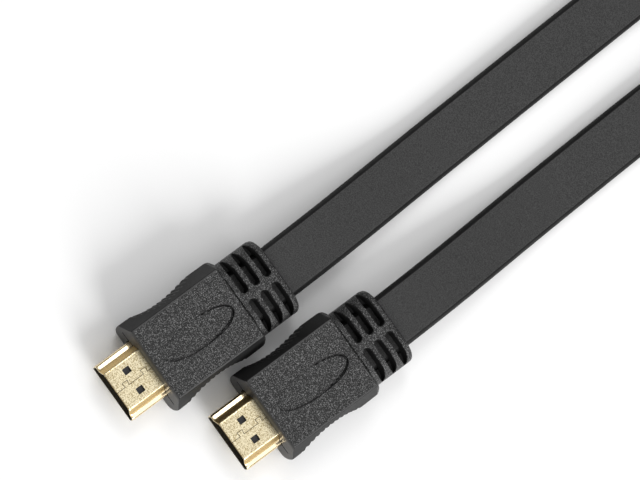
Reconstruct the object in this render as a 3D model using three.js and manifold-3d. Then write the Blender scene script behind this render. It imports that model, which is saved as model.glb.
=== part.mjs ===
// Flat digital video cable with a gold-plated type A plug moulded on each end, laid on a floor.
// Millimetres, +Z up. Each plug points along -Y, and the cable leaves it along +Y.
// The visible legs run flat. The rest is wound on edge into a double spiral behind the plugs.

import * as THREE from 'three';
import { mergeVertices } from 'three/addons/utils/BufferGeometryUtils.js';
import Module from 'manifold-3d';

// Gap between pieces that touch
const FIT = 0.3;

// Metal shell of the plug, with its narrow side up
const SHELL_WIDTH = 13.9;
const SHELL_HEIGHT = 4.45;
const SHELL_NARROW_WIDTH = 9.3;
const SHELL_FACET_RUN = 1.15;
const SHELL_FACET_DROP = 1.7;
const SHELL_SHOULDER_DROP = 0.25;
const SHELL_CORNER = 0.5;
const SHELL_WALL = 0.35;
const SHELL_EXPOSED = 9.2;
const SHELL_BURIED = 3.2;
const SHELL_LIP_LENGTH = 0.8;
const SHELL_LIP_INSET = 0.18;
const WINDOW_WIDTH = 1.4;
const WINDOW_LENGTH = 1.65;
const WINDOW_SPACING = 4.9;
const WINDOW_FROM_TIP = 4.6;

// Black insulator inside the shell, and the 19 contacts in its slot
const INSERT_SETBACK = 0.9;
const SLOT_HEIGHT = 1.9;
const SLOT_WIDTH = 10.8;
const SLOT_NARROW_WIDTH = 8.8;
const SLOT_DEPTH = 7.5;
const CONTACT_PITCH = 1.0;
const CONTACT_WIDTH = 0.45;
const CONTACT_HEIGHT = 0.25;
const CONTACT_SETBACK = 0.3;
const WIDE_ROW = 10;
const NARROW_ROW = 9;

// Moulded grip behind the shell
const GRIP_HEIGHT = 11.2;
const GRIP_WIDTH = 21.8;
const GRIP_REAR_WIDTH = 21.3;
const GRIP_TOP_WIDTH = 17.3;
const GRIP_BOTTOM_WIDTH = 15.2;
const GRIP_TOP_LENGTH = 22.6;
const GRIP_FRONT_LAND = 8.8;
const GRIP_FRONT_ROUND = 0.4;
const GRIP_FRONT_CORNER = 0.6;
const GRIP_REAR_LAND = 3.0;
const GRIP_REAR_DRAFT = 1.4;
const GRIP_REAR_CORNER = 2.0;
const GRIP_BOTTOM_CURVE = 2.4;

// Ribbed finger scoops in the grip's sides
const WAIST_WIDTH = 19.1;
const WAIST_FROM_FRONT = 11.0;
const WAIST_RADIUS = 23.5;
const RIDGE_PITCH = 1.55;
const RIDGE_HEIGHT = 0.18;

// Bare oval recess in the grip's top
const OVAL_LENGTH = 18.4;
const OVAL_WIDTH = 6.2;
const OVAL_DEPTH = 0.35;
const OVAL_FROM_FRONT = 11.8;

// Strain relief behind the grip, in one moulding with it
const RELIEF_WIDTH = 18.2;
const RELIEF_HEIGHT = 9.8;
const RELIEF_LENGTH = 11.1;
const RELIEF_SIDE_RADIUS = 3.6;
const RELIEF_REAR_CORNER = 1.5;
const FLEX_SLOTS = 3;
const FLEX_SLOT_WIDTH = 1.85;
const FLEX_SLOT_PITCH = 3.05;
const FLEX_SLOT_FIRST = 2.6;
const FLEX_SLOT_DEPTH = 3.2;
const FLEX_SIDE_DEPTH = 4.3;
const FLEX_SIDE_FROM = 6.5;
const FLEX_SPINE = 1.65;
const FLEX_RAIL = 0.4;

// Flat cable
const CABLE_WIDTH = 12.5;
const CABLE_THICKNESS = 2.8;
const CABLE_STEP = 6.5;
const END_STEP = 0.2;
const DESCENT_LENGTH = 48;

// Where the two plugs lie
const PLUG_SPACING = 22.7;
const PLUG_STAGGER = 14.0;

// Double spiral of the length past the legs, with both strands entering from the plugs' side
const COIL_X = 15.7;
const COIL_Y = 205.7;
const STRAND_PITCH = 4.6;
const OUTER_STRAND_RADIUS = 51.45;
const INNER_STRAND_RADIUS = 32.6;
const COIL_ENTRY_DEGREES = 200.5;
const COIL_SIDES = 64;

// Worked-out places along a plug, from its tip
const FRONT = SHELL_EXPOSED;
const TOP_START = FRONT + GRIP_FRONT_ROUND;
const TOP_END = TOP_START + GRIP_TOP_LENGTH;
const GRIP_END = TOP_END + GRIP_REAR_DRAFT;
const PLUG_LENGTH = TOP_END + RELIEF_LENGTH;
const SHELL_LENGTH = SHELL_EXPOSED + SHELL_BURIED;
const HALF_GRIP = GRIP_HEIGHT / 2;
const FLAT_HALF = (CABLE_WIDTH - CABLE_THICKNESS) / 2;
const REAR_Y = (PLUG_LENGTH + PLUG_STAGGER) / 2;

const wasm = await Module();
wasm.setup();

const materials = {
  shell: new THREE.MeshStandardMaterial({ color: 0xe6d3a3, roughness: 0.32, metalness: 1 }),
  contact: new THREE.MeshStandardMaterial({ color: 0xd8b56a, roughness: 0.25, metalness: 1 }),
  insert: new THREE.MeshStandardMaterial({ color: 0x17171a, roughness: 0.55, metalness: 0 }),
  moulding: new THREE.MeshStandardMaterial({ color: 0x343434, roughness: 0.7, metalness: 0 }),
  cable: new THREE.MeshStandardMaterial({ color: 0x303030, roughness: 0.6, metalness: 0 }),
};

// Joining and cutting closed meshes

function welded(geometry) {
  const bare = geometry.index ? geometry.clone() : geometry;
  bare.deleteAttribute('normal');
  bare.deleteAttribute('uv');
  return mergeVertices(bare, 1e-4);
}

function solidOf(geometry) {
  const mesh = welded(geometry);
  const vertProperties = Float32Array.from(mesh.attributes.position.array);
  const triVerts = Uint32Array.from(mesh.index.array);
  return new wasm.Manifold(new wasm.Mesh({ numProp: 3, vertProperties, triVerts }));
}

function geometryOf(solid) {
  const { vertProperties, triVerts } = solid.getMesh();
  const geometry = new THREE.BufferGeometry();
  geometry.setAttribute('position', new THREE.BufferAttribute(Float32Array.from(vertProperties), 3));
  geometry.setIndex(new THREE.BufferAttribute(Uint32Array.from(triVerts), 1));
  return geometry;
}

// A closed mesh through rings of points that all have the same number of corners.
// The outline is the rings' shape in two dimensions, and triangulates both ends.
function loft(rings, outline) {
  const count = outline.length;
  const flat = outline.map(([u, v]) => new THREE.Vector2(u, v));
  const turn = Math.sign(THREE.ShapeUtils.area(flat));
  const cap = THREE.ShapeUtils.triangulateShape(flat, []).map(([a, b, c]) => {
    const facing = Math.sign(THREE.ShapeUtils.area([flat[a], flat[b], flat[c]]));
    return facing === turn ? [a, b, c] : [a, c, b];
  });
  const triangles = [];
  for (let ring = 0; ring + 1 < rings.length; ring += 1) {
    for (let i = 0; i < count; i += 1) {
      const next = (i + 1) % count;
      const [a, b] = [ring * count + i, ring * count + next];
      triangles.push([a, b, b + count], [a, b + count, a + count]);
    }
  }
  const last = (rings.length - 1) * count;
  for (const [a, b, c] of cap) {
    triangles.push([a, c, b], [last + a, last + b, last + c]);
  }
  const points = rings.flat();
  const volume = triangles.reduce((sum, [a, b, c]) => {
    const normal = new THREE.Vector3().crossVectors(points[b], points[c]);
    return sum + points[a].dot(normal);
  }, 0);
  const facingOut = volume > 0 ? triangles : triangles.map(([a, b, c]) => [a, c, b]);
  const geometry = new THREE.BufferGeometry().setFromPoints(points);
  geometry.setIndex(facingOut.flat());
  return geometry;
}

// Rings across Y from a function that gives the outline, as x and z, at each y
function loftAlongY(places, outlineAt) {
  const rings = places.map((y) => outlineAt(y).map(([x, z]) => new THREE.Vector3(x, y, z)));
  return loft(rings, outlineAt(places[0]));
}

// An upright prism over an outline in x and y
function uprightPrism(outline, bottom, top) {
  const rings = [bottom, top].map((z) => outline.map(([x, y]) => new THREE.Vector3(x, y, z)));
  return solidOf(loft(rings, outline));
}

function boxSolid(x, y, z) {
  const box = new THREE.BoxGeometry(x[1] - x[0], y[1] - y[0], z[1] - z[0]);
  box.translate((x[0] + x[1]) / 2, (y[0] + y[1]) / 2, (z[0] + z[1]) / 2);
  return solidOf(box);
}

function closedRight(right) {
  const left = right.map(([x, z]) => [-x, z]).reverse();
  return [...right, ...left];
}

// Moves each side of a clockwise outline inwards, or outwards where the distance is negative
function inset(outline, distance) {
  const count = outline.length;
  const sides = outline.map(([x, z], i) => {
    const [nextX, nextZ] = outline[(i + 1) % count];
    const length = Math.hypot(nextX - x, nextZ - z);
    const along = [(nextX - x) / length, (nextZ - z) / length];
    return { along, point: [x + along[1] * distance, z - along[0] * distance] };
  });
  return sides.map((side, i) => {
    const before = sides[(i + count - 1) % count];
    const cross = before.along[0] * side.along[1] - before.along[1] * side.along[0];
    const apart = [side.point[0] - before.point[0], side.point[1] - before.point[1]];
    const reach = (apart[0] * side.along[1] - apart[1] * side.along[0]) / cross;
    return [before.point[0] + before.along[0] * reach, before.point[1] + before.along[1] * reach];
  });
}

function smoothstep(t) {
  const within = Math.min(Math.max(t, 0), 1);
  return within * within * (3 - 2 * within);
}

// Plug shell

function shellOutline(distance) {
  const half = SHELL_WIDTH / 2;
  const top = SHELL_HEIGHT / 2;
  const shoulder = top - SHELL_FACET_DROP;
  const side = shoulder - SHELL_SHOULDER_DROP;
  const right = [
    [SHELL_NARROW_WIDTH / 2, top],
    [SHELL_NARROW_WIDTH / 2 + SHELL_FACET_RUN, shoulder],
    [half - SHELL_CORNER, side],
    [half, side - SHELL_CORNER],
    [half, SHELL_CORNER - top],
    [half - SHELL_CORNER, -top],
  ];
  return inset(closedRight(right), distance);
}

function shellGeometry() {
  const lip = (y) => SHELL_LIP_INSET * Math.max(0, 1 - y / SHELL_LIP_LENGTH);
  const outer = loftAlongY([0, SHELL_LIP_LENGTH, SHELL_LENGTH], (y) => shellOutline(lip(y)));
  const bore = loftAlongY([-1, SHELL_LENGTH + 1], () => shellOutline(SHELL_WALL));
  const across = WINDOW_WIDTH / 2;
  const along = WINDOW_LENGTH / 2;
  const reach = SHELL_HEIGHT;
  let solid = solidOf(outer).subtract(solidOf(bore));
  for (const x of [-WINDOW_SPACING / 2, WINDOW_SPACING / 2]) {
    const span = [WINDOW_FROM_TIP - along, WINDOW_FROM_TIP + along];
    solid = solid.subtract(boxSolid([x - across, x + across], span, [-reach, reach]));
  }
  return geometryOf(solid);
}

// Insulator and contacts

function insertGeometry() {
  const body = loftAlongY([INSERT_SETBACK, SHELL_LENGTH], () => shellOutline(SHELL_WALL + FIT));
  const half = SLOT_HEIGHT / 2;
  const slot = closedRight([
    [SLOT_NARROW_WIDTH / 2, half],
    [SLOT_WIDTH / 2, 0],
    [SLOT_WIDTH / 2, -half],
  ]);
  const hollow = loftAlongY([INSERT_SETBACK - 1, INSERT_SETBACK + SLOT_DEPTH], () => slot);
  return geometryOf(solidOf(body).subtract(solidOf(hollow)));
}

function contactGeometry() {
  const length = SLOT_DEPTH - 2 * CONTACT_SETBACK;
  return new THREE.BoxGeometry(CONTACT_WIDTH, length, CONTACT_HEIGHT);
}

function contactPlaces() {
  const lift = (SLOT_HEIGHT - CONTACT_HEIGHT) / 2;
  const row = (count, z) =>
    Array.from({ length: count }, (_, i) => [(i - (count - 1) / 2) * CONTACT_PITCH, z]);
  return [...row(WIDE_ROW, -lift), ...row(NARROW_ROW, lift)];
}

// Moulding: grip and strain relief

function roundOff(distance, radius) {
  const t = Math.min(Math.max(distance / radius, 0), 1);
  return radius * (1 - Math.sqrt(1 - (1 - t) ** 2));
}

function gripHalfHeight(y) {
  if (y < TOP_START) {
    const share = 1 - roundOff(y - FRONT, GRIP_FRONT_ROUND) / GRIP_FRONT_ROUND;
    return GRIP_FRONT_LAND / 2 + (HALF_GRIP - GRIP_FRONT_LAND / 2) * share;
  }
  const behind = Math.max(0, (y - TOP_END) / GRIP_REAR_DRAFT);
  return HALF_GRIP - (HALF_GRIP - GRIP_REAR_LAND / 2) * behind;
}

function gripHalfWidth(y) {
  const along = (y - FRONT) / (GRIP_END - FRONT);
  const straight = (GRIP_WIDTH + (GRIP_REAR_WIDTH - GRIP_WIDTH) * along) / 2;
  const corners = roundOff(y - FRONT, GRIP_FRONT_CORNER) + roundOff(GRIP_END - y, GRIP_REAR_CORNER);
  return straight - corners;
}

// Flat top, sloping sides down to the parting plane, and a rounder lower half
function gripOutline(y) {
  const half = gripHalfHeight(y);
  const widest = gripHalfWidth(y);
  const upper = [1, 0.5, 0].map((share) => {
    const z = half * share;
    const x = widest - (widest - GRIP_TOP_WIDTH / 2) * (z / HALF_GRIP);
    return [x, z];
  });
  const lower = [0.3, 0.55, 0.75, 0.88, 0.96, 1].map((share) => {
    const z = -half * share;
    const bulge = (1 - (half * share / HALF_GRIP) ** GRIP_BOTTOM_CURVE) ** (1 / GRIP_BOTTOM_CURVE);
    return [GRIP_BOTTOM_WIDTH / 2 + (widest - GRIP_BOTTOM_WIDTH / 2) * bulge, z];
  });
  return closedRight([...upper, ...lower]);
}

function gripSolid() {
  const front = [0, 1, 2, 3, 4].map((k) => FRONT + GRIP_FRONT_ROUND * (1 - Math.cos(k * Math.PI / 8)));
  const rear = [0, 1, 2, 3, 4].map((k) => GRIP_END - GRIP_REAR_CORNER * (1 - Math.sin(k * Math.PI / 8)));
  const places = [...front, ...rear, TOP_END].sort((a, b) => a - b);
  return solidOf(loftAlongY(places, gripOutline));
}

// Half-width that the scoop leaves at a distance from the scoop's middle
function waist(offset) {
  return WAIST_WIDTH / 2 + WAIST_RADIUS - Math.sqrt(WAIST_RADIUS ** 2 - offset ** 2);
}

function scoopOutline() {
  const middle = FRONT + WAIST_FROM_FRONT;
  const outside = GRIP_WIDTH / 2 + 1;
  const rise = outside - WAIST_WIDTH / 2;
  const halfChord = Math.sqrt(2 * WAIST_RADIUS * rise - rise ** 2);
  const ridges = Math.round(2 * halfChord / RIDGE_PITCH);
  const pitch = 2 * halfChord / ridges;
  const edge = [];
  for (let i = 0; i < ridges; i += 1) {
    const start = i * pitch - halfChord;
    edge.push([waist(start), start + middle]);
    edge.push([waist(start + 0.35 * pitch) + RIDGE_HEIGHT, start + 0.35 * pitch + middle]);
    edge.push([waist(start + 0.65 * pitch) + RIDGE_HEIGHT, start + 0.65 * pitch + middle]);
  }
  edge.push([waist(halfChord), halfChord + middle]);
  return [...edge, [outside + 5, halfChord + middle], [outside + 5, middle - halfChord]];
}

// Long and pointed towards the plug's tip, rounder towards the cable
function ovalOutline() {
  const steps = 20;
  const half = OVAL_LENGTH / 2;
  const middle = FRONT + OVAL_FROM_FRONT;
  const sides = Array.from({ length: steps + 1 }, (_, k) => {
    const angle = Math.PI * k / steps;
    const along = -Math.cos(angle);
    const fullness = along > 0 ? 0.75 : 1;
    return [OVAL_WIDTH / 2 * Math.sin(angle) ** fullness, middle + half * along];
  });
  const right = sides.slice(1, steps);
  return [sides[0], ...right, sides[steps], ...right.map(([x, y]) => [-x, y]).reverse()];
}

function reliefOutline(y) {
  const narrowed = roundOff(PLUG_LENGTH - y, RELIEF_REAR_CORNER);
  const half = RELIEF_WIDTH / 2 - narrowed;
  const flat = RELIEF_HEIGHT / 2 - RELIEF_SIDE_RADIUS;
  const corner = (from) =>
    [0, 1, 2, 3, 4, 5].map((k) => {
      const angle = from - k * Math.PI / 10;
      const x = half - RELIEF_SIDE_RADIUS + RELIEF_SIDE_RADIUS * Math.cos(angle);
      const z = Math.sign(from - 0.1) * flat + RELIEF_SIDE_RADIUS * Math.sin(angle);
      return [x, z];
    });
  return closedRight([...corner(Math.PI / 2), ...corner(0)]);
}

function reliefSolid() {
  const rear = [0, 1, 2, 3, 4].map((k) => PLUG_LENGTH - RELIEF_REAR_CORNER * (1 - Math.sin(k * Math.PI / 8)));
  return solidOf(loftAlongY([TOP_END - GRIP_REAR_CORNER, ...rear], reliefOutline));
}

// One flex slot: round at the spine, running out over the moulding's rounded side
function flexSlotOutline(middle) {
  const half = FLEX_SLOT_WIDTH / 2;
  const innerEnd = FLEX_SPINE / 2 + half;
  const outerEnd = RELIEF_WIDTH / 2 - FLEX_RAIL;
  const round = [0, 1, 2, 3, 4, 5, 6].map((k) => {
    const angle = Math.PI / 2 + k * Math.PI / 6;
    return [innerEnd + half * Math.cos(angle), middle + half * Math.sin(angle)];
  });
  return [...round, [outerEnd, middle - half], [outerEnd, middle + half]];
}

// The slot's deeper part, beside the cable inside
function flexSideOutline(middle) {
  const half = FLEX_SLOT_WIDTH / 2;
  const outerEnd = RELIEF_WIDTH / 2 - FLEX_RAIL;
  return [
    [FLEX_SIDE_FROM, middle + half],
    [FLEX_SIDE_FROM, middle - half],
    [outerEnd, middle - half],
    [outerEnd, middle + half],
  ];
}

function mirroredX(outline) {
  return outline.map(([x, y]) => [-x, y]).reverse();
}

function mouldingGeometry() {
  const above = HALF_GRIP + 1;
  let solid = gripSolid().add(reliefSolid());
  const scoop = scoopOutline();
  for (const outline of [scoop, mirroredX(scoop)]) {
    solid = solid.subtract(uprightPrism(outline, -above, above));
  }
  solid = solid.subtract(uprightPrism(ovalOutline(), HALF_GRIP - OVAL_DEPTH, above));
  for (let i = 0; i < FLEX_SLOTS; i += 1) {
    const middle = TOP_END + FLEX_SLOT_FIRST + i * FLEX_SLOT_PITCH;
    const cuts = [
      [flexSlotOutline(middle), RELIEF_HEIGHT / 2 - FLEX_SLOT_DEPTH],
      [flexSideOutline(middle), RELIEF_HEIGHT / 2 - FLEX_SIDE_DEPTH],
    ];
    for (const [outline, floor] of cuts) {
      for (const side of [outline, mirroredX(outline)]) {
        solid = solid.subtract(uprightPrism(side, floor, above));
        solid = solid.subtract(uprightPrism(side, -above, -floor));
      }
    }
  }
  const pocket = loftAlongY([FRONT - 1, SHELL_LENGTH + FIT], () => shellOutline(-FIT));
  return geometryOf(solid.subtract(solidOf(pocket)));
}

// Cable: its section, its legs, and the wound length

function cableSection() {
  const radius = CABLE_THICKNESS / 2;
  return [-1, 1].flatMap((side) =>
    [0, 1, 2, 3, 4].map((k) => {
      const angle = (k / 4 - 0.5) * Math.PI;
      return [side * (FLAT_HALF + radius * Math.cos(angle)), side * radius * Math.sin(angle)];
    }),
  );
}

// Plan routes of the two legs past the strain reliefs, as x and y
const LEFT_ROUTE = [
  [-11.7, 35],
  [-12.6, 62],
  [-13.6, 90],
  [-14.5, 116],
  [-15.2, 134],
  [-17.5, 150],
  [-25, 169],
  [-32.5, 187.7],
];
const RIGHT_ROUTE = [
  [11.0, 48],
  [10.2, 72],
  [9.2, 102],
  [8.9, 120],
  [8.3, 136],
  [4.5, 150],
  [-5, 161.5],
  [-17.9, 172.1],
];
const LEFT_TWIST = [102, 142];
const RIGHT_TWIST = [73, 111];

// The leg's line over the floor: it comes down flat from the strain relief, then turns on edge
function legPoint(route, distance, twist) {
  const share = distance / route.length;
  const point = route.curve.getPointAt(Math.min(share, 1));
  const turned = Math.PI / 2 * smoothstep((distance - twist[0]) / (twist[1] - twist[0]));
  const lying = CABLE_THICKNESS / 2;
  const descent = (HALF_GRIP - lying) * (1 - smoothstep(distance / DESCENT_LENGTH));
  point.z = lying + descent + FLAT_HALF * Math.sin(turned);
  return { point, turned };
}

// A flat band through points that each carry a turn about the line, 0 flat and a quarter turn on edge
function bandGeometry(places) {
  const section = cableSection();
  const up = new THREE.Vector3(0, 0, 1);
  const rings = places.map(({ point, turned }, i) => {
    const before = places[Math.max(i - 1, 0)].point;
    const after = places[Math.min(i + 1, places.length - 1)].point;
    const along = new THREE.Vector3().subVectors(after, before).normalize();
    const across = new THREE.Vector3().crossVectors(along, up).normalize();
    const over = new THREE.Vector3().crossVectors(across, along);
    const wide = across.clone().multiplyScalar(Math.cos(turned)).addScaledVector(over, Math.sin(turned));
    const thick = new THREE.Vector3().crossVectors(wide, along);
    return section.map(([u, v]) => point.clone().addScaledVector(wide, u).addScaledVector(thick, v));
  });
  return loft(rings, section);
}

function legGeometry(start, plan, twist) {
  const points = [start, ...plan].map(([x, y]) => new THREE.Vector3(x, y, 0));
  const curve = new THREE.CatmullRomCurve3(points, false, 'catmullrom', 0.5);
  curve.arcLengthDivisions = 800;
  const route = { curve, length: curve.getLength() };
  const clear = COIL_OUTER + FIT + CABLE_THICKNESS / 2;
  const fromCoil = (distance) => {
    const { point } = legPoint(route, distance, twist);
    return Math.hypot(point.x - COIL_X, point.y - COIL_Y);
  };
  let end = 0;
  while (end < route.length && fromCoil(end) > clear) {
    end += END_STEP;
  }
  const steps = Math.ceil(end / CABLE_STEP);
  const places = Array.from({ length: steps + 1 }, (_, k) => legPoint(route, end * k / steps, twist));
  return bandGeometry(places);
}

const COIL_OUTER = OUTER_STRAND_RADIUS + CABLE_THICKNESS / 2 + FIT;
const COIL_INNER = INNER_STRAND_RADIUS - CABLE_THICKNESS / 2 - FIT;

function coilGeometry() {
  const profile = [
    [COIL_INNER, 0],
    [COIL_OUTER, 0],
    [COIL_OUTER, CABLE_WIDTH],
    [COIL_INNER, CABLE_WIDTH],
    [COIL_INNER, 0],
  ].map(([radius, height]) => new THREE.Vector2(radius, height));
  const ring = new THREE.LatheGeometry(profile, COIL_SIDES);
  ring.rotateX(Math.PI / 2);
  ring.translate(COIL_X, COIL_Y, 0);
  return geometryOf(solidOf(ring));
}

// The S in the coil's bore that joins the two strands: two half circles about the coil's middle
function middleGeometry() {
  const bend = INNER_STRAND_RADIUS / 2;
  const entry = COIL_ENTRY_DEGREES * Math.PI / 180;
  const turns = (OUTER_STRAND_RADIUS - INNER_STRAND_RADIUS) / (2 * STRAND_PITCH);
  const inward = entry - turns * 2 * Math.PI;
  const clear = COIL_INNER - FIT - CABLE_THICKNESS / 2;
  const firstAngle = 2 * Math.acos(clear / INNER_STRAND_RADIUS);
  const steps = 10;
  const half = Array.from({ length: steps + 1 }, (_, k) => {
    const angle = firstAngle + (Math.PI - firstAngle) * k / steps;
    const radius = 2 * bend * Math.cos(angle / 2);
    const heading = inward - angle / 2;
    return [radius * Math.cos(heading), radius * Math.sin(heading)];
  });
  const other = half.slice(0, steps).map(([x, y]) => [-x, -y]).reverse();
  const places = [...half, ...other].map(([x, y]) => ({
    point: new THREE.Vector3(COIL_X + x, COIL_Y + y, CABLE_WIDTH / 2),
    turned: Math.PI / 2,
  }));
  return bandGeometry(places);
}

// The assembly

function named(name, geometry, material) {
  const mesh = new THREE.Mesh(geometry, material);
  mesh.name = name;
  return mesh;
}

function plug(side) {
  const group = new THREE.Group();
  group.add(named(`${side}_plug_shell`, shellGeometry(), materials.shell));
  group.add(named(`${side}_plug_insert`, insertGeometry(), materials.insert));
  contactPlaces().forEach(([x, z], i) => {
    const number = String(i + 1).padStart(2, '0');
    const contact = named(`${side}_contact_${number}`, contactGeometry(), materials.contact);
    contact.position.set(x, INSERT_SETBACK + SLOT_DEPTH / 2, z);
    group.add(contact);
  });
  group.add(named(`${side}_plug_moulding`, mouldingGeometry(), materials.moulding));
  return group;
}

const cable = new THREE.Group();
const leftPlug = plug('left');
leftPlug.position.set(-PLUG_SPACING / 2, -REAR_Y, HALF_GRIP);
const rightPlug = plug('right');
rightPlug.position.set(PLUG_SPACING / 2, PLUG_STAGGER - REAR_Y, HALF_GRIP);
cable.add(leftPlug, rightPlug);

const leftMouth = [leftPlug.position.x, leftPlug.position.y + PLUG_LENGTH + FIT];
const rightMouth = [rightPlug.position.x, rightPlug.position.y + PLUG_LENGTH + FIT];
cable.add(named('cable_left_leg', legGeometry(leftMouth, LEFT_ROUTE, LEFT_TWIST), materials.cable));
cable.add(named('cable_right_leg', legGeometry(rightMouth, RIGHT_ROUTE, RIGHT_TWIST), materials.cable));
cable.add(named('cable_coil', coilGeometry(), materials.cable));
cable.add(named('cable_middle', middleGeometry(), materials.cable));

export default cable;
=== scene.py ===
"""Flat digital video cable with two gold-plated plugs.

Looks, cord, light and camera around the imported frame.
"""

import math

import bpy
import numpy as np
from mathutils import Matrix, Vector


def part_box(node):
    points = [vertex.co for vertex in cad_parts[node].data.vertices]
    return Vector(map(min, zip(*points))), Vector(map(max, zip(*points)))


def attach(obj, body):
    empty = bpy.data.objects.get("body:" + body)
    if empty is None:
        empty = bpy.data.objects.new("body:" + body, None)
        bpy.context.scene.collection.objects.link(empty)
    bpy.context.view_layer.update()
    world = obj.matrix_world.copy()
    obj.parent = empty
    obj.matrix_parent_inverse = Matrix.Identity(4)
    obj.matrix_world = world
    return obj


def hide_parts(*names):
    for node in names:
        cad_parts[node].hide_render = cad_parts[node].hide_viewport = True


MM = 0.001

# Camera: a long lens far away, looking down at the plugs with the picture rolled
CAMERA_ELEVATION = 73.23
CAMERA_AZIMUTH = 14.0
CAMERA_ROLL = 68.03
CAMERA_DISTANCE = 1.5
SENSOR_WIDTH = 36.0
PICTURE = (640, 480)
PIXELS_PER_MM = 4.743
ORIGIN_PIXEL = (244.7, 361.17)

# Lights, in metres and watts: name, place, aim, size and power
LIGHTS = [
    ("key_light", (1.05, -0.2, 0.6), (0, 0.03, 0), (0.6, 0.6), 15.5),
    ("top_light", (0.0, 0.2, 1.3), (0, 0.05, 0), (1.6, 1.6), 4.2),
    ("left_card", (-0.54, 0.29, 0.79), (0, 0, 0), (0.36, 0.5), 2.2),
    ("right_card", (0.66, 0.29, 0.74), (0, 0, 0), (0.5, 0.6), 1.3),
]
WORLD_STRENGTH = 0.35
FLOOR_HALF = 1.6
FLOOR_DROP = 0.00005

# The plug, in millimetres from its tip, its middle plane and half its height
SHELL_WIDTH = 13.9
SHELL_HEIGHT = 4.45
SHELL_NARROW_WIDTH = 9.3
SHELL_FACET_RUN = 0.98
SHELL_FACET_DROP = 1.7
SHELL_SHOULDER_DROP = 0.25
SHELL_CORNER = 0.36
SHELL_SIDE_BAND = 1.0
SHELL_WALL = 0.35
SHELL_LENGTH = 12.4
SHELL_FOLD_RADIUS = 0.42
SHELL_LIP_OUTSIDE = [(0.0, 0.2), (0.03, 0.12), (0.1, 0.06), (0.3, 0.02), (0.6, 0.0)]
SHELL_LIP_INSIDE = [(0.6, 0.35), (0.3, 0.37), (0.1, 0.4), (0.02, 0.32)]
INSIDE_DEPTH = 0.22
WINDOW_CORNER = 0.18
WINDOW_WIDTH = 1.45
WINDOW_LENGTH = 1.7
WINDOW_SPACING = 4.9
WINDOW_FROM_TIP = 4.6
SEAM_X = 0.2
SEAM_WIDTH = 0.12
SEAM_DEPTH = 0.16
DOVETAILS = (2.75, 7.6)
DOVETAIL_REACH = 1.0
DOVETAIL_NECK = 0.5
DOVETAIL_HEAD = 0.7

GRIP_FRONT = 9.2
GRIP_TOP_START = 9.6
GRIP_TOP_END = 32.2
GRIP_REAR = 33.6
GRIP_HALF_HEIGHT = 5.6
GRIP_HALF_WIDTH = 10.9
GRIP_REAR_HALF_WIDTH = 10.65
GRIP_TOP_HALF_WIDTH = 8.65
GRIP_BOTTOM_HALF_WIDTH = 7.6
FRONT_LAND = 4.4
REAR_LAND = 1.5
LOWER_POWER = 2.4
TOP_EDGE = 0.3
FRONT_EDGE = 0.15
REAR_CORNER = 1.6
REAR_TOP_EDGE = 0.2
WAIST_HALF_WIDTH = 9.3
WAIST_Y = 20.2
WAIST_RADIUS = 23.5
SCOOP_EDGE = 0.18
RIDGE_PITCH = 1.3
RIDGE_HEIGHT = 0.3
OVAL_Y = 21.0
OVAL_HALF_LENGTH = 9.2
OVAL_HALF_WIDTH = 3.1
OVAL_DEPTH = 0.38
OVAL_POWERS = (2.0, 2.7)
OVAL_FLOOR_EDGE = 0.08
OVAL_RIM_EDGE = 0.1
OVAL_GROOVE_HALF = 0.16
OVAL_GROOVE_DEPTH = 0.2
OVAL_GROOVE_START = 21.0
OVAL_GROOVE_FULL = 29.0
RELIEF_HALF_WIDTH = 9.1
RELIEF_HALF_HEIGHT = 4.9
RELIEF_SIDE_RADIUS = 4.5
RELIEF_REAR_EDGE = 1.3
RELIEF_START = GRIP_TOP_END - 2
GROOVE_FROM_TOP_END = 0.28
GROOVE_HALF = 0.14
GROOVE_DEPTH = 0.3
PLUG_LENGTH = 43.3
FLEX_SLOTS = (34.8, 37.85, 40.9)
FLEX_SLOT_HALF_WIDTH = 0.925
FLEX_WEB_HALF = 0.5
FLEX_SPINE_HALF = 0.825
FLEX_TAPER_START = 6.0
FLEX_OUTER_END = 8.9
FLEX_FLOOR_EDGE = 0.3
FLEX_RIM_EDGE = 0.2
POCKET_ROOM = 0.1
POCKET_EDGE = 0.2
SLIT_Z = -0.2
SLIT_HALF = 0.13
SLIT_REACH = 9.3
SLIT_DEPTH = 0.9
HOLE_ROOM = 0.06
HOLE_DEPTH = 10
HOLE_EDGE = 0.12
GRID_STEP = 0.2
GRID_MARGIN = 0.5
STEEP = 0.8
NEARLY_LEVEL = 0.985
TOP_EDGE_FROM = 7.5

# The flat cable, in millimetres
CABLE_WIDTH = 12.5
CABLE_THICKNESS = 2.8
CABLE_INTO_MOULDING = 10.5
MOUTH_GAP = 0.3
DESCENT_LENGTH = 48
COIL_X = 15.7
COIL_Y = 205.7
STRAND_PITCH = 4.6
OUTER_STRAND_RADIUS = 51.45
INNER_STRAND_RADIUS = 32.6
COIL_ENTRY_DEGREES = 200.5
CABLE_STEP = 2.0
CABLE_EDGE_RUN = 0.95
CABLE_EDGE_POWER = 1.5
CABLE_FLAT_MARGIN = 0.3
LEFT_ROUTE = [
    (-11.7, 35),
    (-12.6, 62),
    (-13.6, 90),
    (-14.5, 116),
    (-15.2, 134),
    (-17.5, 150),
    (-25, 169),
    (-32.5, 187.7),
]
RIGHT_ROUTE = [
    (11.0, 48),
    (10.2, 72),
    (9.2, 102),
    (8.9, 120),
    (8.3, 136),
    (4.5, 150),
    (-5, 161.5),
    (-17.9, 172.1),
]
LEFT_TWIST = (102, 142)
RIGHT_TWIST = (73, 111)


# Small helpers


def smoothstep(t):
    """From 0 to 1 with level ends."""
    t = np.clip(t, 0, 1)
    return t * t * (3 - 2 * t)


def smooth_max(a, b, k):
    """The larger of two fields, with their joint rounded over k."""
    h = np.clip(0.5 + 0.5 * (a - b) / k, 0, 1)
    return b + (a - b) * h + k * h * (1 - h)


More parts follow.
